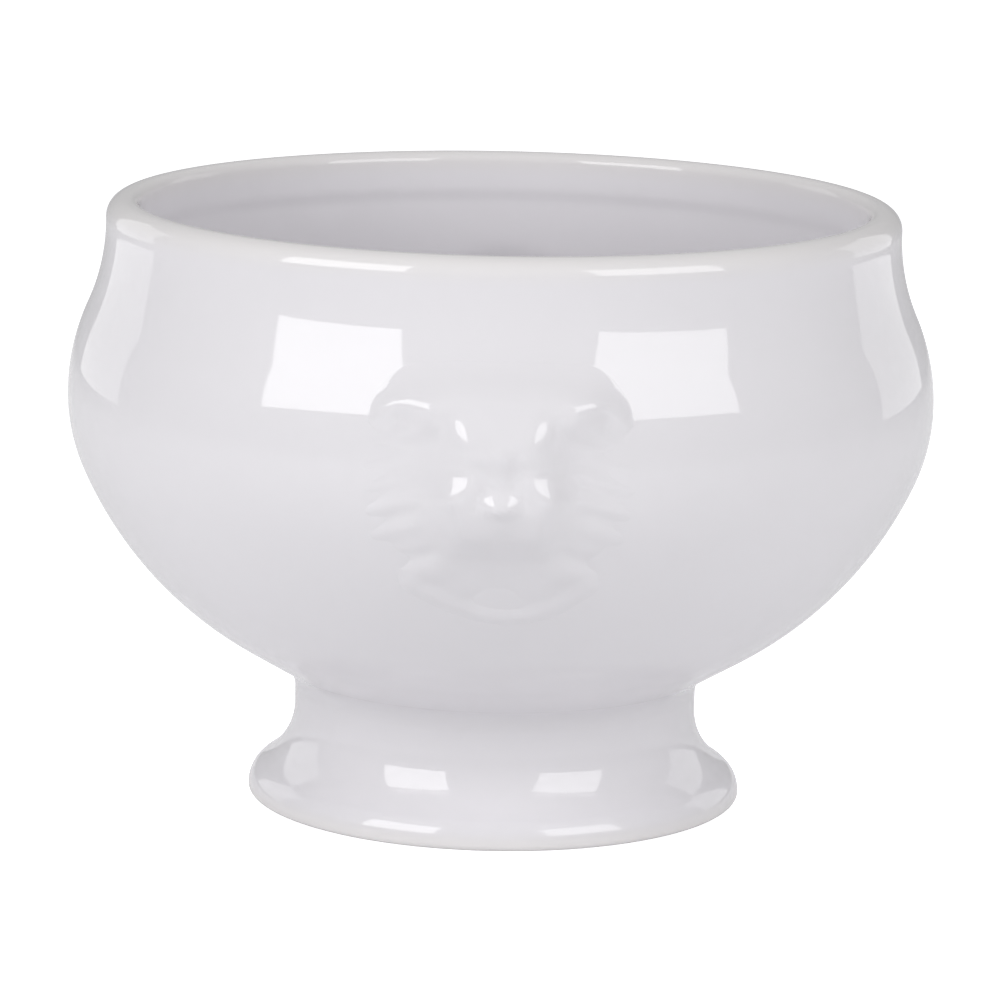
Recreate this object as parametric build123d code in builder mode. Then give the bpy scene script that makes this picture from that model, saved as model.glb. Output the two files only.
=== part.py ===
from build123d import *
import math
import os

# Footed soup crock with a lion mask on its front and on its back, in millimetres.
# +Z is up, the foot stands on z = 0, and the front mask looks towards -Y.

# Bowl
overall_height = 93.0
belly_diameter = 133.4
belly_level = 62.9
belly_round = 28.2
flank_drop = 11.2
underside_run = 11.0
shoulder_share = 0.5
collar_setback = 5.75
collar_height = 3.4
wall_thickness = 5.0
floor_thickness = 5.0
floor_round = 22.0
lip_outer_round = 2.9
lip_inner_round = 1.2
fillet_margin = 0.1

# Pedestal foot
foot_height = 18.4
seat_diameter = 62.4
foot_wall = 5.0
foot_neck_height = 4.5
foot_flare = 7.1
foot_flare_share = 0.27
foot_rim_height = 1.0
foot_edge_round = 0.8
foot_ring_width = 4.4

# Slip that sticks the foot to the bowl
slip_thickness = 0.6
slip_outer_fillet = 2.0
slip_inner_fillet = 1.5

# Hollow pressed into the inner wall behind each mask
hollow_depth = 3.2
hollow_radius = 24.0
hollow_level = 63.5

# Lion mask: where each form sits on the wall, its size and how far it stands out of the wall
plate_level = 59.5
plate_width = 31.0
plate_height = 33.0
plate_rise = 1.3
mane_level = 59.5
mane_lock_count = 7
mane_start_angle = 66.0
mane_end_angle = 166.0
mane_root_reach = 11.0
mane_lock_length = 7.0
mane_root_width = 7.4
mane_tip_width = 2.4
mane_lock_rise = 3.6
head_level = 63.5
head_diameter = 45.0
head_rise = 4.4
brow_across = 3.6
brow_level = 70.0
brow_lean = 98.0
brow_length = 7.0
brow_width = 6.4
brow_tip_width = 3.6
brow_rise = 6.8
eye_across = 6.6
eye_level = 63.6
eye_diameter = 4.6
eye_rise = 5.6
bridge_level = 69.6
bridge_length = 9.0
bridge_width = 6.6
bridge_tip_width = 7.0
bridge_rise = 6.8
nose_across = 2.3
nose_level = 61.2
nose_diameter = 6.0
nose_rise = 8.2
muzzle_across = 4.4
muzzle_level = 56.8
muzzle_diameter = 11.6
muzzle_rise = 7.0
chin_level = 49.6
chin_diameter = 8.0
chin_rise = 5.4
ear_across = 13.2
ear_level = 71.0
ear_diameter = 9.0
ear_rise = 5.2
ear_hollow_diameter = 5.0
beard_level = 47.4
beard_length = 6.0
beard_width = 8.0
beard_tip_width = 3.6
beard_rise = 4.4

seat_radius = seat_diameter / 2
seat_level = foot_height + slip_thickness
floor_level = seat_level + floor_thickness
belly_radius = belly_diameter / 2
collar_radius = belly_radius - collar_setback
collar_level = overall_height - collar_height
lip_radius = collar_radius - wall_thickness


# Wall of the bowl, drawn as tangent arcs from the seat on the foot up to the collar
def wall_points(inset):
    """Joints of the wall's arcs, moved inwards along the wall's normal"""
    seat = Vector(seat_radius, seat_level)
    flank_turn = math.asin(flank_drop / belly_round)
    belly_centre = Vector(belly_radius - belly_round, belly_level)
    flank_out = Vector(math.cos(flank_turn), -math.sin(flank_turn))
    flank = belly_centre + flank_out * belly_round
    to_seat = seat - flank
    flank_round = (underside_run**2 - to_seat.length**2) / (2 * to_seat.dot(flank_out))
    flank_centre = flank - flank_out * flank_round
    to_seat = seat - flank_centre
    bearing = math.atan2(to_seat.Y, to_seat.X)
    bearing += math.acos(flank_round / to_seat.length)
    under_out = Vector(math.cos(bearing), math.sin(bearing))
    belly = Vector(belly_radius, belly_level)
    collar = Vector(collar_radius, collar_level)
    shoulder = belly + (collar - belly) * shoulder_share
    slope = 2 * math.atan2(collar_setback, collar_level - belly_level)
    shoulder_out = Vector(math.cos(slope), math.sin(slope))
    return [
        seat - under_out * inset,
        flank_centre + under_out * (flank_round - inset),
        flank_centre + flank_out * (flank_round - inset),
        belly - Vector(inset, 0),
        shoulder - shoulder_out * inset,
        collar - Vector(inset, 0),
    ]


def draw_wall(inset):
    """Draw the wall's line and arcs in the line that is being built"""
    points = wall_points(inset)
    run = Line(points[0], points[1])
    for start, end in zip(points[1:-1], points[2:]):
        run = TangentArc(start, end, tangent=run % 1)


# Bowl body
with BuildSketch(Plane.XZ) as bowl_outline:
    with BuildLine():
        draw_wall(0)
        Polyline(
            (collar_radius, collar_level),
            (collar_radius, overall_height),
            (0, overall_height),
            (0, seat_level),
            (seat_radius, seat_level),
        )
    make_face()
    lip_corner = bowl_outline.vertices().group_by(Axis.Y)[-1].sort_by(Axis.X)[-1]
    fillet(lip_corner, min(lip_outer_round, wall_thickness - lip_inner_round - fillet_margin))

with BuildPart() as bowl_form:
    add(bowl_outline.sketch)
    revolve(axis=Axis.Z)

with BuildSketch(Plane.XZ) as cavity_outline:
    with BuildLine():
        draw_wall(wall_thickness)
        foot_of_wall = wall_points(wall_thickness)[0]
        Polyline(
            (lip_radius, collar_level),
            (lip_radius, overall_height),
            (0, overall_height),
            (0, foot_of_wall.Y),
            foot_of_wall,
        )
    make_face()
    with Locations((0, foot_of_wall.Y)):
        Rectangle(
            belly_diameter,
            floor_level - foot_of_wall.Y,
            align=(Align.CENTER, Align.MIN),
            mode=Mode.SUBTRACT,
        )
    floor_corner = cavity_outline.vertices().group_by(Axis.Y)[0].sort_by(Axis.X)[-1]
    fillet(floor_corner, floor_round)

with BuildPart() as bowl_body:
    add(bowl_form.part)
    add(cavity_outline.sketch)
    revolve(axis=Axis.Z, mode=Mode.SUBTRACT)
    hollow_reach = belly_radius - wall_thickness + hollow_depth - hollow_radius
    with Locations((0, -hollow_reach, hollow_level), (0, hollow_reach, hollow_level)):
        Sphere(hollow_radius, mode=Mode.SUBTRACT)
    lip_edges = bowl_body.edges().filter_by(GeomType.CIRCLE).group_by(Axis.Z)[-1]
    fillet(lip_edges.sort_by(SortBy.RADIUS)[0], lip_inner_round)

# Pedestal foot
foot_rim_radius = seat_radius + foot_flare
foot_waist_level = foot_height - foot_neck_height
with BuildSketch(Plane.XZ) as foot_outline:
    with BuildLine():
        rim = Vector(foot_rim_radius, foot_rim_height)
        waist = Vector(seat_radius, foot_waist_level)
        flare = rim + (waist - rim) * foot_flare_share
        rim_arc = TangentArc(rim, flare, tangent=(0, 1))
        TangentArc(flare, waist, tangent=rim_arc % 1)
        Polyline(
            waist,
            (seat_radius, foot_height),
            (seat_radius - foot_wall, foot_height),
            (seat_radius - foot_wall, foot_waist_level),
            (foot_rim_radius - foot_ring_width, 0),
            (foot_rim_radius, 0),
            rim,
        )
    make_face()
    foot_edge = foot_outline.vertices().group_by(Axis.Y)[0].sort_by(Axis.X)[-1]
    fillet(foot_edge, min(foot_edge_round, foot_rim_height - fillet_margin))

with BuildPart() as pedestal_foot:
    add(foot_outline.sketch)
    revolve(axis=Axis.Z)

# Luting slip
with BuildSketch(Plane.XZ) as slip_outline:
    with BuildLine():
        foot_inner = seat_radius - foot_wall
        underside = (wall_points(0)[1] - wall_points(0)[0]).normalized()
        outer_low = Vector(seat_radius, foot_height - slip_outer_fillet)
        outer_high = Vector(seat_radius, seat_level) + underside * slip_outer_fillet
        inner_low = Vector(foot_inner, foot_height - slip_inner_fillet)
        inner_high = Vector(foot_inner - slip_inner_fillet, seat_level)
        Polyline(
            outer_high,
            (seat_radius, seat_level),
            inner_high,
            inner_low,
            (foot_inner, foot_height),
            (seat_radius, foot_height),
            outer_low,
            outer_high,
        )
    make_face()

with BuildPart() as foot_luting_slip:
    add(slip_outline.sketch)
    revolve(axis=Axis.Z)


# Lion masks
def tilted(angle):
    """Unit vector that leans that far from straight up"""
    return Vector(math.sin(angle), math.cos(angle))


class Lock(BasePartObject):
    """Tapered lock with round ends: its root is at the origin and it runs along X"""

    def __init__(self, length, root_width, tip_width, mode=Mode.ADD):
        root = root_width / 2
        tip = tip_width / 2
        end = Vector(length, 0)
        lean = math.asin((root - tip) / length)
        rise = tilted(lean)
        back = tilted(lean / 2 - math.pi / 4)
        front = tilted(lean / 2 + math.pi / 4)
        round_of_root = Edge.make_three_point_arc((-root, 0), back * root, rise * root)
        round_of_tip = Edge.make_three_point_arc(end + rise * tip, end + front * tip, (length + tip, 0))
        flank = Edge.make_line(rise * root, end + rise * tip)
        base = Edge.make_line((length + tip, 0), (-root, 0))
        section = Face(Wire([round_of_root, flank, round_of_tip, base]))
        super().__init__(Solid.revolve(section, 360, Axis.X), mode=mode)


with BuildLine() as wall_line:
    draw_wall(0)
wall_wire = wall_line.wires()[0]


def on_wall(across, level, lean=0.0, out=0.0):
    """Plane on the front wall: Z points out of the wall and X leans that far from straight up"""
    low, high = 0.0, 1.0
    while high - low > 1e-6:
        middle = (low + high) / 2
        if (wall_wire @ middle).Y < level:
            low = middle
        else:
            high = middle
    place = wall_wire @ low
    climb = wall_wire % low
    turn = math.asin(across / place.X)
    radial = Vector(math.sin(turn), -math.cos(turn), 0)
    side = Vector(math.cos(turn), math.sin(turn), 0)
    up = radial * climb.X + Vector(0, 0, climb.Y)
    outward = radial * climb.Y - Vector(0, 0, climb.X)
    angle = math.radians(lean)
    along = up * math.cos(angle) + side * math.sin(angle)
    origin = radial * place.X + Vector(0, 0, place.Y) + outward * out
    return Plane(origin=origin, x_dir=along, z_dir=outward)


def both_sides(across, level, lean=0.0, out=0.0):
    """The same place on the right and on the left of the face"""
    return [on_wall(across, level, lean, out), on_wall(-across, level, -lean, out)]


mane_step = (mane_end_angle - mane_start_angle) / (mane_lock_count - 1)
mane_places = []
for lock in range(mane_lock_count):
    lock_angle = mane_start_angle + mane_step * lock
    mane_places += both_sides(
        mane_root_reach * math.sin(math.radians(lock_angle)),
        mane_level + mane_root_reach * math.cos(math.radians(lock_angle)),
        lock_angle,
        mane_lock_rise - mane_root_width / 2,
    )

with BuildSketch(Plane.XZ) as plate_outline:
    with BuildLine():
        draw_wall(-plate_rise)
        plate_bottom, *_, plate_top = wall_points(-plate_rise)
        Polyline(plate_top, (0, plate_top.Y), (0, plate_bottom.Y), plate_bottom)
    make_face()

with BuildPart() as mask_plate:
    add(plate_outline.sketch)
    revolve(axis=Axis.Z)
    with BuildSketch(Plane.XZ):
        with Locations((0, plate_level)):
            Ellipse(plate_width / 2, plate_height / 2)
    extrude(amount=belly_diameter, mode=Mode.INTERSECT)

with BuildPart() as lion_mask_front:
    add(mask_plate.part)
    with Locations(on_wall(0, head_level, 0, head_rise - head_diameter / 2)):
        Sphere(head_diameter / 2)
    with Locations(*mane_places):
        Lock(mane_lock_length, mane_root_width, mane_tip_width)
    with Locations(*both_sides(ear_across, ear_level, 0, ear_rise - ear_diameter / 2)):
        Sphere(ear_diameter / 2)
    with Locations(*both_sides(ear_across, ear_level, 0, ear_rise)):
        Sphere(ear_hollow_diameter / 2, mode=Mode.SUBTRACT)
    with Locations(*both_sides(brow_across, brow_level, brow_lean, brow_rise - brow_width / 2)):
        Lock(brow_length, brow_width, brow_tip_width)
    with Locations(*both_sides(eye_across, eye_level, 0, eye_rise - eye_diameter / 2)):
        Sphere(eye_diameter / 2)
    with Locations(on_wall(0, bridge_level, 180, bridge_rise - bridge_width / 2)):
        Lock(bridge_length, bridge_width, bridge_tip_width)
    with Locations(*both_sides(muzzle_across, muzzle_level, 0, muzzle_rise - muzzle_diameter / 2)):
        Sphere(muzzle_diameter / 2)
    with Locations(*both_sides(nose_across, nose_level, 0, nose_rise - nose_diameter / 2)):
        Sphere(nose_diameter / 2)
    with Locations(on_wall(0, chin_level, 0, chin_rise - chin_diameter / 2)):
        Sphere(chin_diameter / 2)
    with Locations(on_wall(0, beard_level, 180, beard_rise - beard_width / 2)):
        Lock(beard_length, beard_width, beard_tip_width)
    add(bowl_form.part, mode=Mode.SUBTRACT)

with BuildPart() as lion_mask_rear:
    add(lion_mask_front.part, rotation=(0, 0, 180))

bowl_body.part.label = "bowl_body"
pedestal_foot.part.label = "pedestal_foot"
foot_luting_slip.part.label = "foot_luting_slip"
lion_mask_front.part.label = "lion_mask_front"
lion_mask_rear.part.label = "lion_mask_rear"

os.makedirs("parts", exist_ok=True)
export_step(bowl_body.part, "parts/bowl_body.step")
export_step(pedestal_foot.part, "parts/pedestal_foot.step")
export_step(foot_luting_slip.part, "parts/foot_luting_slip.step")
export_step(lion_mask_front.part, "parts/lion_mask_front.step")
export_step(lion_mask_rear.part, "parts/lion_mask_rear.step")
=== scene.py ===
import math

import bmesh
import bpy
from mathutils import Matrix, Vector
from mathutils.kdtree import KDTree


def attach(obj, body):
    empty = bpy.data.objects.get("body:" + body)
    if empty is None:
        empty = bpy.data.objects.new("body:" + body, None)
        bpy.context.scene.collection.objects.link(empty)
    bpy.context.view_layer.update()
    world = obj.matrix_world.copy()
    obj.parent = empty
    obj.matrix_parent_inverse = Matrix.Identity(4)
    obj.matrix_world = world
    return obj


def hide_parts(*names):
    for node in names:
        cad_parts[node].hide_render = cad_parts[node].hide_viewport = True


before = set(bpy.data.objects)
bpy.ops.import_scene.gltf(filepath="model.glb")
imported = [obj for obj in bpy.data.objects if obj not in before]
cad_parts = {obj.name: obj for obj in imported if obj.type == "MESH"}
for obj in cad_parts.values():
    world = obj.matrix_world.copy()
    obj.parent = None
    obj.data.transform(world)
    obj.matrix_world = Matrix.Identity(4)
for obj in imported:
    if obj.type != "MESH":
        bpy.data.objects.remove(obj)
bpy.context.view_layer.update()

# Footed porcelain soup crock with a lion mask on its front and back, in metres
MM = 0.001

# Sizes of the bowl
OVERALL_HEIGHT = 93.0 * MM
BELLY_RADIUS = 66.7 * MM
BELLY_LEVEL = 62.9 * MM
BELLY_ROUND = 28.2 * MM
FLANK_DROP = 11.2 * MM
UNDERSIDE_RUN = 11.0 * MM
SHOULDER_SHARE = 0.5
COLLAR_SETBACK = 5.75 * MM
COLLAR_HEIGHT = 3.4 * MM
WALL = 5.0 * MM
FLOOR_THICKNESS = 5.0 * MM
FLOOR_ROUND_RISE = 9.24 * MM
LIP_OUTER_ROUND = 2.9 * MM
LIP_INNER_ROUND = 1.6 * MM

# Hollows behind the masks, and the step of the inner wall under the lip
HOLLOW_DEPTH = 3.6 * MM
HOLLOW_LEVEL = 63.5 * MM
HOLLOW_REACH = 15.5 * MM
LIP_STEP = 0.4 * MM
LIP_STEP_TOP = 87.2 * MM
LIP_STEP_RUN = 2.4 * MM

# Sizes of the foot and of the slip that sticks it to the bowl
FOOT_HEIGHT = 18.4 * MM
SEAT_RADIUS = 31.2 * MM
FOOT_WALL = 5.0 * MM
FOOT_NECK_HEIGHT = 4.5 * MM
FOOT_FLARE = 7.1 * MM
FOOT_FLARE_SHARE = 0.27
FOOT_RIM_HEIGHT = 1.0 * MM
FOOT_EDGE_ROUND = 0.8 * MM
FOOT_RING_WIDTH = 4.4 * MM
SLIP_THICKNESS = 0.6 * MM
SLIP_OUTER_FILLET = 2.0 * MM
SLIP_INNER_FILLET = 1.5 * MM

SEAT_LEVEL = FOOT_HEIGHT + SLIP_THICKNESS
FLOOR_LEVEL = SEAT_LEVEL + FLOOR_THICKNESS
COLLAR_RADIUS = BELLY_RADIUS - COLLAR_SETBACK
COLLAR_LEVEL = OVERALL_HEIGHT - COLLAR_HEIGHT
RIM_RADIUS = SEAT_RADIUS + FOOT_FLARE
WAIST_LEVEL = FOOT_HEIGHT - FOOT_NECK_HEIGHT

# Fineness of the meshes: the longest step along each stretch of an outline
TURNED_STEPS = 256
ARC_PITCH = 0.7 * MM
UNDERSIDE_PITCH = 3.0 * MM
FLOOR_PITCH = 2.0 * MM
FLAT_PITCH = 1.0 * MM
RING_PITCH = 0.6 * MM
SEAM_PITCH = 0.5 * MM
FLARE_PITCH = 0.4 * MM
LIP_PITCH = 0.3 * MM
RIM_PITCH = 0.25 * MM
FILLET_PITCH = 0.2 * MM
EDGE_PITCH = 0.15 * MM
SEAT_MARGIN = 1.0 * MM
MERGE_DISTANCE = 0.002 * MM
NO_TURN = 1e-6
SHARP_EDGE = math.radians(50)


# Drawing half outlines: points are (distance from the axis, level)
def straight(start, end, pitch):
    """Points from start to end, without start"""
    count = max(1, math.ceil((end - start).length / pitch))
    return [start.lerp(end, step / count) for step in range(1, count + 1)]


def tangent_arc(start, heading, end, pitch):
    """Points of the arc that leaves start along heading and ends at end, and its heading there"""
    chord = end - start
    half_turn = math.atan2(heading.x * chord.y - heading.y * chord.x, heading.dot(chord))
    if abs(half_turn) < NO_TURN:
        return straight(start, end, pitch), heading
    radius = chord.length / (2 * math.sin(half_turn))
    count = max(1, math.ceil(abs(2 * half_turn * radius) / pitch))
    points = []
    for step in range(1, count + 1):
        part = half_turn * step / count
        along = Matrix.Rotation(part, 2) @ heading
        points.append(start + along * 2 * radius * math.sin(part))
    return points, Matrix.Rotation(2 * half_turn, 2) @ heading


def wall_joints(inset):
    """Joints of the wall's arcs, moved inwards along the wall's normal"""
    seat = Vector((SEAT_RADIUS, SEAT_LEVEL))
    flank_turn = math.asin(FLANK_DROP / BELLY_ROUND)
    belly_centre = Vector((BELLY_RADIUS - BELLY_ROUND, BELLY_LEVEL))
    flank_out = Vector((math.cos(flank_turn), -math.sin(flank_turn)))
    flank = belly_centre + flank_out * BELLY_ROUND
    to_seat = seat - flank
    flank_round = (UNDERSIDE_RUN ** 2 - to_seat.length_squared) / (2 * to_seat.dot(flank_out))
    flank_centre = flank - flank_out * flank_round
    to_seat = seat - flank_centre
    bearing = math.atan2(to_seat.y, to_seat.x) + math.acos(flank_round / to_seat.length)
    under_out = Vector((math.cos(bearing), math.sin(bearing)))
    belly = Vector((BELLY_RADIUS, BELLY_LEVEL))
    collar = Vector((COLLAR_RADIUS, COLLAR_LEVEL))
    shoulder = belly.lerp(collar, SHOULDER_SHARE)
    slope = 2 * math.atan2(COLLAR_SETBACK, COLLAR_LEVEL - BELLY_LEVEL)
    shoulder_out = Vector((math.cos(slope), math.sin(slope)))
    return [
        seat - under_out * inset,
        flank_centre + under_out * (flank_round - inset),
        flank_centre + flank_out * (flank_round - inset),
        belly - Vector((inset, 0)),
        shoulder - shoulder_out * inset,
        collar - Vector((inset, 0)),
    ]


def wall_outline(inset, pitch):
    """Points of the wall from the foot's seat up to the collar"""
    joints = wall_joints(inset)
    points = [joints[0]] + straight(joints[0], joints[1], pitch)
    heading = (joints[1] - joints[0]).normalized()
    for start, end in zip(joints[1:-1], joints[2:]):
        arc, heading = tangent_arc(start, heading, end, pitch)
        points += arc
    return points


def bowl_outline():
    """Half section of the bowl: under its floor, up the outside, over the lip and down inside"""
    points = [Vector((0, SEAT_LEVEL))]
    points += straight(points[0], Vector((SEAT_RADIUS - SEAT_MARGIN, SEAT_LEVEL)), UNDERSIDE_PITCH)
    points += wall_outline(0, ARC_PITCH)
    lip_start = Vector((COLLAR_RADIUS, OVERALL_HEIGHT - LIP_OUTER_ROUND))
    lip_top = Vector((COLLAR_RADIUS - LIP_OUTER_ROUND, OVERALL_HEIGHT))
    points += straight(points[-1], lip_start, ARC_PITCH)
    points += tangent_arc(lip_start, Vector((0, 1)), lip_top, LIP_PITCH)[0]
    inner_radius = COLLAR_RADIUS - WALL
    inner_top = Vector((inner_radius + LIP_INNER_ROUND, OVERALL_HEIGHT))
    inner_end = Vector((inner_radius, OVERALL_HEIGHT - LIP_INNER_ROUND))
    points += straight(lip_top, inner_top, LIP_PITCH)
    points += tangent_arc(inner_top, Vector((-1, 0)), inner_end, LIP_PITCH)[0]
    points += straight(inner_end, Vector((inner_radius, COLLAR_LEVEL)), ARC_PITCH)
    inside = [under_lip(point) for point in reversed(wall_outline(WALL, ARC_PITCH))]
    kept = [point for point in inside[1:] if floor_clearance(point) > 0]
    points += kept
    heading = (kept[-1] - kept[-2]).normalized()
    floor_start = Vector((floor_reach(kept[-1], heading), FLOOR_LEVEL))
    points += tangent_arc(kept[-1], heading, floor_start, ARC_PITCH)[0]
    points += straight(floor_start, Vector((0, FLOOR_LEVEL)), FLOOR_PITCH)
    return points


def under_lip(point):
    """Point of the inner wall, which steps back a little under the thicker lip"""
    share = min(max((LIP_STEP_TOP - point.y) / LIP_STEP_RUN, 0), 1)
    return point + Vector((LIP_STEP * share * share * (3 - 2 * share), 0))


def floor_clearance(point):
    """How far a point of the inner wall is above the start of the floor's round"""
    return point.y - FLOOR_LEVEL - FLOOR_ROUND_RISE


def floor_reach(point, heading):
    """Where an arc from that point, along that heading, runs level on the floor"""
    drop = point.y - FLOOR_LEVEL
    turn = math.atan2(-heading.y, -heading.x)
    return point.x - drop / math.tan(turn / 2)


def foot_outline():
    """Closed half section of the flared foot, from its seat down the outside and up inside"""
    seat = Vector((SEAT_RADIUS, FOOT_HEIGHT))
    waist = Vector((SEAT_RADIUS, WAIST_LEVEL))
    rim = Vector((RIM_RADIUS, FOOT_RIM_HEIGHT))
    flare = rim.lerp(waist, FOOT_FLARE_SHARE)
    points = [seat] + straight(seat, waist, ARC_PITCH)
    curve, heading = tangent_arc(waist, Vector((0, -1)), flare, FLARE_PITCH)
    points += curve
    points += tangent_arc(flare, heading, rim, RIM_PITCH)[0]
    edge_start = Vector((RIM_RADIUS, FOOT_EDGE_ROUND))
    edge_end = Vector((RIM_RADIUS - FOOT_EDGE_ROUND, 0))
    points += straight(rim, edge_start, FILLET_PITCH)
    points += tangent_arc(edge_start, Vector((0, -1)), edge_end, EDGE_PITCH)[0]
    ring_inner = Vector((RIM_RADIUS - FOOT_RING_WIDTH, 0))
    inner_waist = Vector((SEAT_RADIUS - FOOT_WALL, WAIST_LEVEL))
    inner_seat = Vector((SEAT_RADIUS - FOOT_WALL, FOOT_HEIGHT))
    points += straight(edge_end, ring_inner, RING_PITCH)
    points += straight(ring_inner, inner_waist, ARC_PITCH)
    points += straight(inner_waist, inner_seat, ARC_PITCH)
    points += straight(inner_seat, seat, FLAT_PITCH)
    return points


def slip_outline():
    """Closed half section of the slip: a soft concave corner outside and another inside the foot"""
    inner_radius = SEAT_RADIUS - FOOT_WALL
    joints = wall_joints(0)
    underside = (joints[1] - joints[0]).normalized()
    low = Vector((SEAT_RADIUS, FOOT_HEIGHT - SLIP_OUTER_FILLET))
    high = Vector((SEAT_RADIUS, SEAT_LEVEL)) + underside * SLIP_OUTER_FILLET
    points = [low] + tangent_arc(low, Vector((0, 1)), high, FILLET_PITCH)[0]
    points += straight(high, Vector((SEAT_RADIUS, SEAT_LEVEL)), SEAM_PITCH)
    inner_high = Vector((inner_radius - SLIP_INNER_FILLET, SEAT_LEVEL))
    inner_low = Vector((inner_radius, FOOT_HEIGHT - SLIP_INNER_FILLET))
    points += straight(points[-1], inner_high, FLAT_PITCH)
    points += tangent_arc(inner_high, Vector((1, 0)), inner_low, FILLET_PITCH)[0]
    points += straight(inner_low, Vector((inner_radius, FOOT_HEIGHT)), SEAM_PITCH)
    points += straight(points[-1], Vector((SEAT_RADIUS, FOOT_HEIGHT)), FLAT_PITCH)
    points += straight(points[-1], low, SEAM_PITCH)
    return points


# Making pieces
def start_piece(name):
    """Start a piece as one vertex at the origin, in edit mode"""
    bpy.ops.object.select_all(action="DESELECT")
    bpy.ops.mesh.primitive_plane_add(size=MM, location=(0, 0, 0))
    piece = bpy.context.object
    piece.name = name
    piece.data.name = name
    bpy.ops.object.mode_set(mode="EDIT")
    bpy.ops.mesh.select_all(action="SELECT")
    bpy.ops.mesh.merge(type="CENTER")
    return piece


def draw_outline(points):
    """Move the first vertex to the outline's start and pull it along the outline"""
    bpy.ops.transform.translate(value=(points[0].x, 0, points[0].y))
    for start, end in zip(points, points[1:]):
        step = (end.x - start.x, 0, end.y - start.y)
        bpy.ops.mesh.extrude_vertices_move(TRANSFORM_OT_translate={"value": step})
    bpy.ops.mesh.select_all(action="SELECT")


def turned_piece(name, points):
    """Turn a half outline about the axis into a closed piece"""
    piece = start_piece(name)
    draw_outline(points)
    bpy.ops.mesh.spin(steps=TURNED_STEPS, angle=2 * math.pi, center=(0, 0, 0), axis=(0, 0, 1))
    bpy.ops.mesh.select_all(action="SELECT")
    bpy.ops.mesh.remove_doubles(threshold=MERGE_DISTANCE)
    bpy.ops.mesh.normals_make_consistent(inside=False)
    bpy.ops.mesh.select_all(action="DESELECT")
    bpy.ops.object.mode_set(mode="OBJECT")
    bpy.ops.object.shade_smooth_by_angle(angle=SHARP_EDGE)
    return piece


def place_piece(piece, node, material):
    """Let a finished piece stand for its solid"""
    piece.data.materials.clear()
    piece.data.materials.append(material)
    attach(piece, "root")
    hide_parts(node)


def press_hollow(piece, side):
    """Push the inner wall outwards behind a mask, with a soft edge"""
    bpy.ops.object.select_all(action="DESELECT")
    piece.select_set(True)
    bpy.context.view_layer.objects.active = piece
    bpy.ops.object.mode_set(mode="EDIT")
    bpy.ops.mesh.select_mode(type="VERT")
    bpy.ops.mesh.select_all(action="DESELECT")
    mesh = bmesh.from_edit_mesh(piece.data)
    centre = Vector((0, side * (BELLY_RADIUS - WALL), HOLLOW_LEVEL))
    nearest = min(mesh.verts, key=lambda vert: (vert.co - centre).length)
    nearest.select_set(True)
    mesh.select_flush_mode()
    bmesh.update_edit_mesh(piece.data)
    bpy.ops.transform.translate(
        value=(0, side * HOLLOW_DEPTH, 0),
        use_proportional_edit=True,
        use_proportional_connected=True,
        proportional_edit_falloff="SMOOTH",
        proportional_size=HOLLOW_REACH,
    )
    bpy.ops.mesh.select_all(action="DESELECT")
    bpy.ops.object.mode_set(mode="OBJECT")


# Lion masks: a patch of the wall, raised and grooved stroke by stroke
MASK_HALF_TURN = math.radians(21.5)
MASK_STEPS = 164
MASK_LOW = 34.5 * MM
MASK_HIGH = 87.0 * MM
MASK_PITCH = 0.3 * MM
MASK_SINK = 0.15 * MM
MASK_BACK = 0.35 * MM
MASK_MIDDLE = 60.0 * MM
MASK_HALF_WIDTH = 21.0 * MM
MASK_HALF_HEIGHT = 22.6 * MM
MASK_ROUNDNESS = 3
GLAZE_SOFTENING = 14
SOFTENING_SHARE = 0.5


def mask_patch(name):
    """Patch of the outer wall that looks towards -Y, just under the surface of the bowl"""
    piece = start_piece(name)
    levels = [point for point in wall_outline(MASK_SINK, MASK_PITCH) if MASK_LOW < point.y < MASK_HIGH]
    draw_outline(levels)
    bpy.ops.mesh.spin(steps=MASK_STEPS, angle=2 * MASK_HALF_TURN, center=(0, 0, 0), axis=(0, 0, 1))
    bpy.ops.mesh.select_all(action="SELECT")
    bpy.ops.mesh.remove_doubles(threshold=MERGE_DISTANCE)
    bpy.ops.object.mode_set(mode="OBJECT")
    piece.rotation_euler.z = -math.pi / 2 + MASK_HALF_TURN
    bpy.ops.object.transform_apply(location=False, rotation=True, scale=False)
    bpy.ops.object.mode_set(mode="EDIT")
    bpy.ops.mesh.select_all(action="SELECT")
    bpy.ops.mesh.normals_make_consistent(inside=False)
    bpy.ops.object.mode_set(mode="OBJECT")
    if piece.data.polygons[0].normal.y > 0:
        piece.data.flip_normals()
    return piece


def outside_mask(place):
    """Whether a place on the wall is beyond the mask's rounded outline"""
    across = abs(place.x) / MASK_HALF_WIDTH
    up = abs(place.z - MASK_MIDDLE) / MASK_HALF_HEIGHT
    return across ** MASK_ROUNDNESS + up ** MASK_ROUNDNESS > 1


def wall_normal(across, level):
    """Direction straight out of the front wall at a place, in millimetres across and up"""
    outline = wall_outline(0, MASK_PITCH)
    row = min(range(1, len(outline) - 1), key=lambda index: abs(outline[index].y - level * MM))
    climb = (outline[row + 1] - outline[row - 1]).normalized()
    turn = math.asin(across * MM / outline[row].x)
    radial = Vector((math.sin(turn), -math.cos(turn), 0))
    return radial * climb.y - Vector((0, 0, climb.x))


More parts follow.
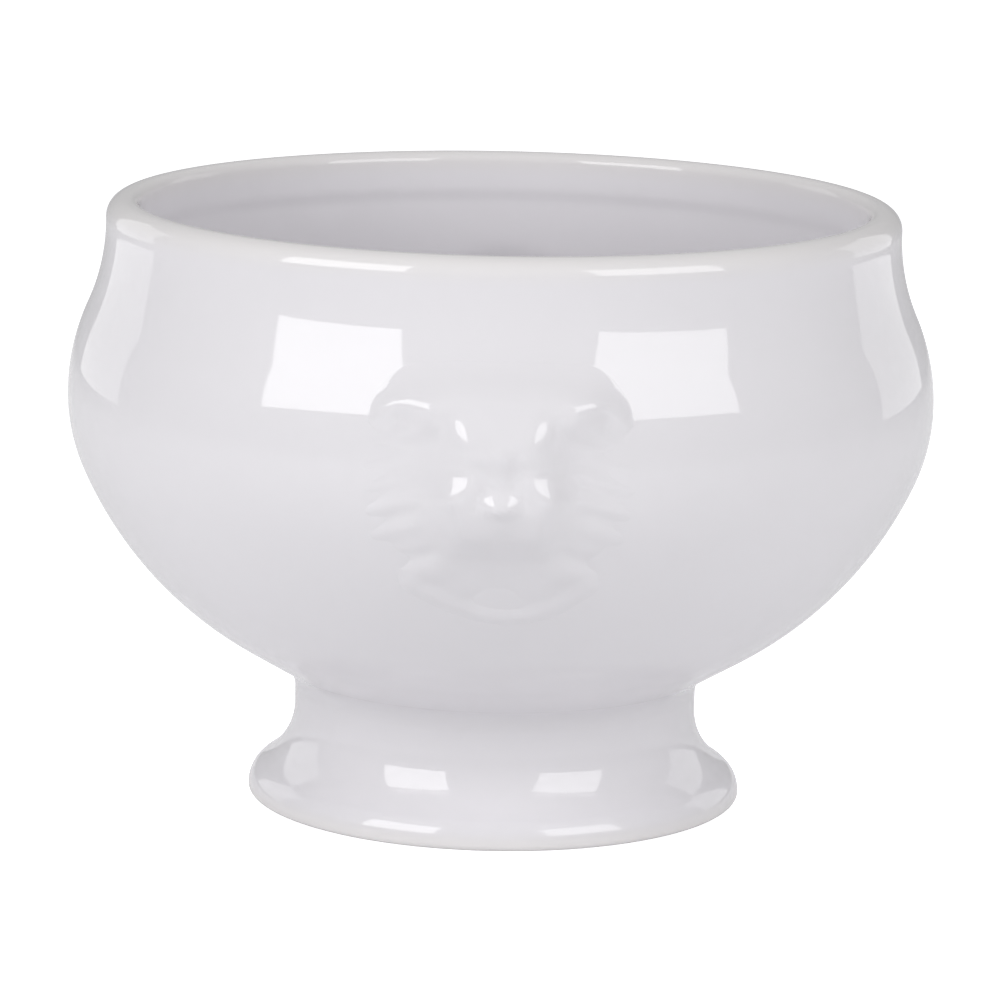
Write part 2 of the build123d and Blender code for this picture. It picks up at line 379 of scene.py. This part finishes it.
class Relief:
    """Strokes on the patch, in millimetres: each lifts or sinks the wall along a path"""

    def __init__(self, piece):
        self.piece = piece
        self.tree = KDTree(len(piece.data.vertices))
        for vert in piece.data.vertices:
            self.tree.insert((vert.co.x, vert.co.z, 0), vert.index)
        self.tree.balance()

    def stroke(self, path, height, reach):
        """Move the wall straight out along a path, less and less as far as the stroke reaches"""
        chosen = set()
        for start, end in zip(path, path[1:] + path[-1:]):
            first = Vector((start[0], start[1], 0)) * MM
            last = Vector((end[0], end[1], 0)) * MM
            count = max(1, math.ceil((last - first).length / MASK_PITCH))
            for step in range(count + 1):
                chosen.add(self.tree.find(first.lerp(last, step / count))[1])
        middle = path[len(path) // 2]
        bpy.ops.mesh.select_all(action="DESELECT")
        mesh = bmesh.from_edit_mesh(self.piece.data)
        mesh.verts.ensure_lookup_table()
        for index in chosen:
            mesh.verts[index].select_set(True)
        mesh.select_flush_mode()
        bmesh.update_edit_mesh(self.piece.data)
        bpy.ops.transform.translate(
            value=wall_normal(*middle) * height * MM,
            use_proportional_edit=True,
            proportional_edit_falloff="SMOOTH",
            proportional_size=reach * MM,
        )

    def both(self, path, height, reach):
        """The same stroke on the left and on the right of the face"""
        self.stroke(path, height, reach)
        self.stroke([(-across, level) for across, level in path], height, reach)


# Locks of the mane on one side, from the ear down: root, tip and rise
MANE_LOCKS = [
    ((11.2, 68.0), (18.6, 66.6), 0.21),
    ((10.4, 66.2), (18.8, 63.4), 0.26),
    ((11.4, 63.4), (18.6, 60.2), 0.3),
    ((12.2, 59.4), (18.2, 56.9), 0.33),
    ((12.4, 55.4), (17.2, 53.2), 0.33),
]
LOCK_REACH = 2.0
GROOVE_DEPTH = 0.1
GROOVE_REACH = 1.5
BEARD = [
    (-12.4, 45.4),
    (-10, 44.1),
    (-6.7, 42.5),
    (-2, 40.8),
    (1.5, 40.4),
    (5, 40.8),
    (8.4, 42.1),
    (13, 45.6),
]


def lion_face(relief):
    """Broad forms first, then the features: each stroke has its places, height and reach"""
    # Head and jowls
    relief.stroke([(-9, 57), (9, 57)], 1.0, 10)
    relief.stroke([(-8, 51), (8, 51)], 0.7, 9)
    relief.both([(10, 49), (6, 45)], 0.4, 5)
    # Crown, brow and the hollow of the eyes
    relief.stroke([(-5, 69.5), (5, 69.5)], 1.8, 11)
    relief.stroke([(-11.5, 72.6), (11.5, 72.6)], 1.7, 7.5)
    relief.stroke([(-3.9, 66.0), (3.9, 66.0)], 2.5, 6.4)
    relief.stroke([(-7, 63.6), (7, 63.6)], 0.5, 4)
    # Snout, its upper sides, bridge and nose
    relief.stroke([(-5.4, 58.8), (5.4, 58.8)], 3.2, 6.8)
    relief.stroke([(-4.6, 54.0), (4.6, 54.0)], 1.2, 5.2)
    relief.both([(4.2, 61.6), (7.4, 60.6)], 1.0, 3.0)
    relief.stroke([(0, 65.5), (0, 62.5)], 0.6, 2.4)
    relief.stroke([(-1, 60), (1, 60)], 1.6, 2.5)
    relief.stroke([(0, 58), (0, 57)], 0.4, 3.0)
    # Ears: a raised rim round a dent
    relief.both([(10.5, 71.6), (15.5, 71.4)], 0.5, 5.0)
    relief.both([(10.2, 69.6), (10.6, 71.8), (13.5, 72.8), (16.6, 71.8), (17.4, 70.4)], 0.35, 2.2)
    relief.both([(14.2, 69.9)], -0.5, 2.4)
    # Mane: side locks with grooves between them, cheek tufts and the grooves above the tufts
    for root, tip, rise in MANE_LOCKS:
        relief.both([root, tip], rise, LOCK_REACH)
    for (root, tip, _), (next_root, next_tip, _) in zip(MANE_LOCKS[:-1], MANE_LOCKS[1:]):
        groove = [(Vector(root) + Vector(next_root)) / 2, (Vector(tip) + Vector(next_tip)) / 2]
        relief.both(groove, -GROOVE_DEPTH, GROOVE_REACH)
    relief.both([(8, 48.4), (13.0, 47.2)], 0.25, 2.8)
    relief.both([(9.6, 51.4), (13.4, 49.4)], -0.4, 1.8)
    relief.stroke(BEARD, 0.5, 2.4)


def lion_mask(name):
    """Closed mask: the raised patch in front and a plain copy of the wall behind it"""
    piece = mask_patch(name)
    relief = Relief(piece)
    count = len(piece.data.vertices)
    flat = [vert.co.copy() for vert in piece.data.vertices]
    bpy.ops.object.mode_set(mode="EDIT")
    bpy.ops.mesh.select_mode(type="VERT")
    bpy.ops.mesh.select_all(action="SELECT")
    bpy.ops.mesh.duplicate()
    bpy.ops.transform.translate(value=(0, MASK_BACK, 0))
    bpy.ops.mesh.flip_normals()
    bpy.ops.mesh.hide(unselected=False)
    lion_face(relief)
    bpy.ops.mesh.select_all(action="SELECT")
    bpy.ops.mesh.vertices_smooth(factor=SOFTENING_SHARE, repeat=GLAZE_SOFTENING)
    bpy.ops.mesh.reveal(select=False)
    bpy.ops.mesh.select_all(action="DESELECT")
    mesh = bmesh.from_edit_mesh(piece.data)
    mesh.verts.ensure_lookup_table()
    for index in range(count):
        if outside_mask(flat[index]):
            mesh.verts[index].select_set(True)
            mesh.verts[index + count].select_set(True)
    bmesh.update_edit_mesh(piece.data)
    bpy.ops.mesh.delete(type="VERT")
    bpy.ops.mesh.select_all(action="DESELECT")
    bpy.ops.mesh.select_mode(type="EDGE")
    bpy.ops.mesh.select_non_manifold()
    bpy.ops.mesh.bridge_edge_loops()
    bpy.ops.mesh.select_mode(type="VERT")
    bpy.ops.mesh.select_all(action="DESELECT")
    bpy.ops.object.mode_set(mode="OBJECT")
    bpy.ops.object.shade_smooth()
    return piece


# Materials
COOL_WHITE = (0.79, 0.775, 0.80, 1.0)
WARM_THIN = (0.785, 0.765, 0.765, 1.0)
GLAZE_IOR = 1.52
DRIFT = 0.012
DRIFT_SCALE = 28.0
DRIFT_DETAIL = 2.0
DRIFT_LOW = 0.3
DRIFT_HIGH = 0.7
GLOSSIEST = 0.035
DULLEST = 0.06
SPOT_SCALE = 150.0
RARE_SPOT = 0.82
PINHOLE_CORE = 0.02
PINHOLE_EDGE = 0.04
PINHOLE_DARKNESS = 0.18
PEEL_SCALE = 330.0
PEEL_DETAIL = 1.0
PEEL_STRENGTH = 0.12
PEEL_DEPTH = 0.02 * MM
LIP_THIN = (88.5 * MM, 92.5 * MM)
FOOT_THIN = (3.2 * MM, 0.8 * MM)
NOWHERE_THIN = (200 * MM, 210 * MM)


def add_node(tree, kind, label, **values):
    """New node with a plain label, and its settings"""
    node = tree.nodes.new(kind)
    node.label = label
    node.name = label
    for key, value in values.items():
        setattr(node, key, value)
    return node


def porcelain_glaze_group():
    """Slow colour drift, glaze that runs thin between two levels, pinholes and orange peel"""
    group = bpy.data.node_groups.new("porcelain_glaze", "ShaderNodeTree")
    sockets = (
        ("Body Colour", "NodeSocketColor", "INPUT"),
        ("Thin Colour", "NodeSocketColor", "INPUT"),
        ("Drift", "NodeSocketFloat", "INPUT"),
        ("Thin Start", "NodeSocketFloat", "INPUT"),
        ("Thin Full", "NodeSocketFloat", "INPUT"),
        ("Colour", "NodeSocketColor", "OUTPUT"),
        ("Roughness", "NodeSocketFloat", "OUTPUT"),
        ("Height", "NodeSocketFloat", "OUTPUT"),
    )
    for name, kind, direction in sockets:
        group.interface.new_socket(name, socket_type=kind, in_out=direction)
    link = group.links.new
    inputs = add_node(group, "NodeGroupInput", "glaze values")
    outputs = add_node(group, "NodeGroupOutput", "glaze results")
    place = add_node(group, "ShaderNodeTexCoord", "place on the piece")
    split = add_node(group, "ShaderNodeSeparateXYZ", "level")
    link(place.outputs["Object"], split.inputs[0])

    thin = add_node(group, "ShaderNodeMapRange", "thin glaze", interpolation_type="SMOOTHSTEP")
    link(split.outputs["Z"], thin.inputs["Value"])
    link(inputs.outputs["Thin Start"], thin.inputs["From Min"])
    link(inputs.outputs["Thin Full"], thin.inputs["From Max"])

    cloud = add_node(group, "ShaderNodeTexNoise", "slow drift")
    cloud.inputs["Scale"].default_value = DRIFT_SCALE
    cloud.inputs["Detail"].default_value = DRIFT_DETAIL
    link(place.outputs["Object"], cloud.inputs["Vector"])
    spread = add_node(group, "ShaderNodeMapRange", "drift amount")
    link(cloud.outputs["Fac"], spread.inputs["Value"])
    spread.inputs["From Min"].default_value = DRIFT_LOW
    spread.inputs["From Max"].default_value = DRIFT_HIGH
    low = add_node(group, "ShaderNodeMath", "darkest drift", operation="SUBTRACT")
    low.inputs[0].default_value = 1.0
    link(inputs.outputs["Drift"], low.inputs[1])
    link(low.outputs[0], spread.inputs["To Min"])
    spread.inputs["To Max"].default_value = 1.0

    mix = add_node(group, "ShaderNodeMix", "thin over body", data_type="RGBA")
    link(thin.outputs["Result"], mix.inputs["Factor"])
    link(inputs.outputs["Body Colour"], mix.inputs["A"])
    link(inputs.outputs["Thin Colour"], mix.inputs["B"])
    spots = add_node(group, "ShaderNodeTexVoronoi", "scattered spots")
    spots.inputs["Scale"].default_value = SPOT_SCALE
    link(place.outputs["Object"], spots.inputs["Vector"])
    rare = add_node(group, "ShaderNodeMath", "few of the spots", operation="GREATER_THAN")
    rare.inputs[1].default_value = RARE_SPOT
    link(spots.outputs["Color"], rare.inputs[0])
    dot = add_node(group, "ShaderNodeMapRange", "size of a pinhole")
    link(spots.outputs["Distance"], dot.inputs["Value"])
    dot.inputs["From Min"].default_value = PINHOLE_CORE
    dot.inputs["From Max"].default_value = PINHOLE_EDGE
    dot.inputs["To Min"].default_value = PINHOLE_DARKNESS
    dot.inputs["To Max"].default_value = 0.0
    pinhole = add_node(group, "ShaderNodeMath", "pinholes", operation="MULTIPLY")
    link(rare.outputs[0], pinhole.inputs[0])
    link(dot.outputs["Result"], pinhole.inputs[1])
    light = add_node(group, "ShaderNodeMath", "drift less pinholes", operation="SUBTRACT")
    link(spread.outputs["Result"], light.inputs[0])
    link(pinhole.outputs[0], light.inputs[1])
    shade = add_node(group, "ShaderNodeVectorMath", "drift on colour", operation="SCALE")
    link(mix.outputs["Result"], shade.inputs[0])
    link(light.outputs[0], shade.inputs["Scale"])
    link(shade.outputs[0], outputs.inputs["Colour"])

    peel = add_node(group, "ShaderNodeTexNoise", "orange peel")
    peel.inputs["Scale"].default_value = PEEL_SCALE
    peel.inputs["Detail"].default_value = PEEL_DETAIL
    link(place.outputs["Object"], peel.inputs["Vector"])
    link(peel.outputs["Fac"], outputs.inputs["Height"])

    gloss = add_node(group, "ShaderNodeMapRange", "gloss drift")
    link(cloud.outputs["Fac"], gloss.inputs["Value"])
    gloss.inputs["From Min"].default_value = DRIFT_LOW
    gloss.inputs["From Max"].default_value = DRIFT_HIGH
    gloss.inputs["To Min"].default_value = GLOSSIEST
    gloss.inputs["To Max"].default_value = DULLEST
    link(gloss.outputs["Result"], outputs.inputs["Roughness"])
    return group


def glaze_material(name, group, thin_levels):
    """White glaze that begins to run thin at the first level and is thinnest at the second"""
    material = bpy.data.materials.new(name)
    material.use_nodes = True
    tree = material.node_tree
    surface = tree.nodes["Principled BSDF"]
    surface.inputs["IOR"].default_value = GLAZE_IOR
    glaze = add_node(tree, "ShaderNodeGroup", "glaze", node_tree=group)
    glaze.inputs["Body Colour"].default_value = COOL_WHITE
    glaze.inputs["Thin Colour"].default_value = WARM_THIN
    glaze.inputs["Drift"].default_value = DRIFT
    glaze.inputs["Thin Start"].default_value = thin_levels[0]
    glaze.inputs["Thin Full"].default_value = thin_levels[1]
    bump = add_node(tree, "ShaderNodeBump", "glaze relief")
    bump.inputs["Strength"].default_value = PEEL_STRENGTH
    bump.inputs["Distance"].default_value = PEEL_DEPTH
    tree.links.new(glaze.outputs["Colour"], surface.inputs["Base Color"])
    tree.links.new(glaze.outputs["Roughness"], surface.inputs["Roughness"])
    tree.links.new(glaze.outputs["Height"], bump.inputs["Height"])
    tree.links.new(bump.outputs["Normal"], surface.inputs["Normal"])
    return material


glaze_group = porcelain_glaze_group()
bowl_glaze = glaze_material("bowl_glaze", glaze_group, LIP_THIN)
foot_glaze = glaze_material("foot_glaze", glaze_group, FOOT_THIN)
mask_glaze = glaze_material("mask_glaze", glaze_group, NOWHERE_THIN)

# Bowl, foot and slip
bowl = turned_piece("bowl", bowl_outline())
press_hollow(bowl, -1)
press_hollow(bowl, 1)
place_piece(bowl, "bowl_body", bowl_glaze)

foot = turned_piece("foot", foot_outline())
place_piece(foot, "pedestal_foot", foot_glaze)

slip = turned_piece("foot_slip", slip_outline())
place_piece(slip, "foot_luting_slip", bowl_glaze)

# Lion masks
front_mask = lion_mask("front_lion_mask")
bpy.ops.object.select_all(action="DESELECT")
front_mask.select_set(True)
bpy.context.view_layer.objects.active = front_mask
bpy.ops.object.duplicate()
rear_mask = bpy.context.object
rear_mask.name = "rear_lion_mask"
rear_mask.rotation_euler.z = math.pi
bpy.ops.object.transform_apply(location=False, rotation=True, scale=False)
place_piece(front_mask, "lion_mask_front", mask_glaze)
place_piece(rear_mask, "lion_mask_rear", mask_glaze)


# Floor, light and camera
FLOOR_SIZE = 12
FLOOR_WHITE = (0.93, 0.93, 0.94, 1)
FLOOR_ROUGHNESS = 0.6
FLOOR_SHEEN = 0.2
PAGE_GLOW = 0.75
MIRRORED_GLOW = 0.08
ROOM_GREY = 0.41
ROOM_COOLNESS = 1.01
LAMP_TARGET = Vector((0, 0, 60 * MM))
BELLY_SPOT = Vector((35 * MM, -56 * MM, 72 * MM))
LAMP_REACH = 0.53
LAMP_HEIGHT = 0.34
LEFT_RADIANCE = 4.0
RIGHT_RADIANCE = 3.1
BACK_LOW_CORNER = Vector((0.22, 0.6, 0.19))
BACK_HEIGHT = 0.36
BACK_RADIANCE = 2.2
PANEL_REACH = 0.5
PANEL_ELEVATION = -5
PANEL_HEIGHT = 0.3
PANEL_RADIANCE = 0.7
CAMERA_PLACE = (0, -0.7855, 0.2026)
CAMERA_SENSOR = 36.0
CAMERA_LENS = 185.9
CAMERA_CLIP_START = 0.01
CAMERA_DOWN = 11.268
CAMERA_ROLL = 1.159
CAMERA_TURN = -0.015


def white_floor():
    """Plain floor: white to the camera and dimmer in reflections, with the crock's shadow on it"""
    bpy.ops.object.select_all(action="DESELECT")
    bpy.ops.mesh.primitive_plane_add(size=FLOOR_SIZE, location=(0, 0, 0))
    floor = bpy.context.object
    floor.name = "white_floor"
    material = bpy.data.materials.new("white_floor")
    material.use_nodes = True
    tree = material.node_tree
    surface = tree.nodes["Principled BSDF"]
    surface.inputs["Base Color"].default_value = FLOOR_WHITE
    surface.inputs["Roughness"].default_value = FLOOR_ROUGHNESS
    surface.inputs["Specular IOR Level"].default_value = FLOOR_SHEEN
    surface.inputs["Emission Color"].default_value = (1, 1, 1, 1)
    ray = add_node(tree, "ShaderNodeLightPath", "which ray")
    mirrored = add_node(tree, "ShaderNodeMath", "reflection or glass", operation="MAXIMUM")
    tree.links.new(ray.outputs["Is Glossy Ray"], mirrored.inputs[0])
    tree.links.new(ray.outputs["Is Transmission Ray"], mirrored.inputs[1])
    dimmed = add_node(tree, "ShaderNodeMath", "dimmer in reflections", operation="MULTIPLY")
    dimmed.inputs[1].default_value = MIRRORED_GLOW
    tree.links.new(mirrored.outputs[0], dimmed.inputs[0])
    glow = add_node(tree, "ShaderNodeMath", "white of the page", operation="MULTIPLY_ADD")
    glow.inputs[1].default_value = PAGE_GLOW
    tree.links.new(ray.outputs["Is Camera Ray"], glow.inputs[0])
    tree.links.new(dimmed.outputs[0], glow.inputs[2])
    tree.links.new(glow.outputs[0], surface.inputs["Emission Strength"])
    floor.data.materials.append(material)


def room_light():
    """Even grey light from all round, which the camera sees as white behind the floor"""
    world = bpy.data.worlds.new("pale_room")
    bpy.context.scene.world = world
    world.use_nodes = True
    tree = world.node_tree
    background = tree.nodes["Background"]
    background.inputs["Color"].default_value = (ROOM_GREY, ROOM_GREY, ROOM_GREY * ROOM_COOLNESS, 1)
    ray = add_node(tree, "ShaderNodeLightPath", "which ray")
    brightness = add_node(tree, "ShaderNodeMath", "white behind the floor", operation="MULTIPLY_ADD")
    brightness.inputs[1].default_value = 1 / ROOM_GREY - 1
    brightness.inputs[2].default_value = 1
    tree.links.new(ray.outputs["Is Camera Ray"], brightness.inputs[0])
    tree.links.new(brightness.outputs[0], background.inputs["Strength"])


def softbox(name, corner_low_outer, corner_low_inner, height, radiance):
    """Rectangular lamp: its lower edge runs between two corners, and it leans to face the crock"""
    across = corner_low_inner - corner_low_outer
    middle = (corner_low_outer + corner_low_inner) / 2
    side = across.normalized()
    towards = (LAMP_TARGET - middle).normalized()
    rise = side.cross(towards)
    if rise.z < 0:
        rise = -rise
    rise.normalize()
    centre = middle + rise * height / 2
    facing = rise.cross(side)
    if facing.dot(LAMP_TARGET - centre) < 0:
        facing = -facing
    lamp_data = bpy.data.lights.new(name, "AREA")
    lamp_data.shape = "RECTANGLE"
    lamp_data.size = across.length
    lamp_data.size_y = height
    lamp_data.energy = radiance * across.length * height * math.pi
    lamp = bpy.data.objects.new(name, lamp_data)
    bpy.context.scene.collection.objects.link(lamp)
    back = -facing
    right = rise.cross(back)
    axes = Matrix((right, rise, back)).transposed()
    lamp.matrix_world = Matrix.Translation(centre) @ axes.to_4x4()
    return lamp


def seen_from_belly(side, azimuth, elevation, reach):
    """Place in that direction, in degrees, as one side of the belly sees it"""
    start = Vector((side * BELLY_SPOT.x, BELLY_SPOT.y, BELLY_SPOT.z))
    across = math.radians(azimuth)
    up = math.radians(elevation)
    flat = Vector((math.sin(across), -math.cos(across), 0)) * reach
    return start + flat + Vector((0, 0, reach * math.tan(up)))


white_floor()
room_light()

# Two lamps in front
left_outer = seen_from_belly(-1, -65.5, 11.5, LAMP_REACH)
left_inner = seen_from_belly(-1, -26, 16, LAMP_REACH)
softbox("softbox_left", left_outer, left_inner, LAMP_HEIGHT, LEFT_RADIANCE)
right_outer = seen_from_belly(1, 66, 13, LAMP_REACH)
right_inner = seen_from_belly(1, 25, 15.5, LAMP_REACH)
softbox("softbox_right", right_outer, right_inner, LAMP_HEIGHT, RIGHT_RADIANCE)

# Lamp behind, for the back and the inside of the bowl, without a reflection of its own
back_left = Vector((-BACK_LOW_CORNER.x, BACK_LOW_CORNER.y, BACK_LOW_CORNER.z))
back_lamp = softbox("softbox_back", back_left, BACK_LOW_CORNER, BACK_HEIGHT, BACK_RADIANCE)
back_lamp.visible_camera = False
back_lamp.visible_glossy = False

# Panels at both sides, which show only as pale strips in the glaze
for side in (-1, 1):
    outer = seen_from_belly(side, side * 148, PANEL_ELEVATION, PANEL_REACH)
    inner = seen_from_belly(side, side * 120, PANEL_ELEVATION, PANEL_REACH)
    panel = softbox("side_panel", outer, inner, PANEL_HEIGHT, PANEL_RADIANCE)
    panel.visible_diffuse = False

camera_data = bpy.data.cameras.new("camera")
camera_data.sensor_width = CAMERA_SENSOR
camera_data.lens = CAMERA_LENS
camera_data.clip_start = CAMERA_CLIP_START
camera = bpy.data.objects.new("camera", camera_data)
bpy.context.scene.collection.objects.link(camera)
tilt = Matrix.Rotation(math.radians(90 - CAMERA_DOWN), 4, "X")
roll = Matrix.Rotation(math.radians(CAMERA_ROLL), 4, "Z")
turn = Matrix.Rotation(math.radians(CAMERA_TURN), 4, "Z")
camera.matrix_world = Matrix.Translation(CAMERA_PLACE) @ turn @ tilt @ roll
bpy.context.scene.camera = camera
bpy.context.scene.view_settings.view_transform = "Standard"
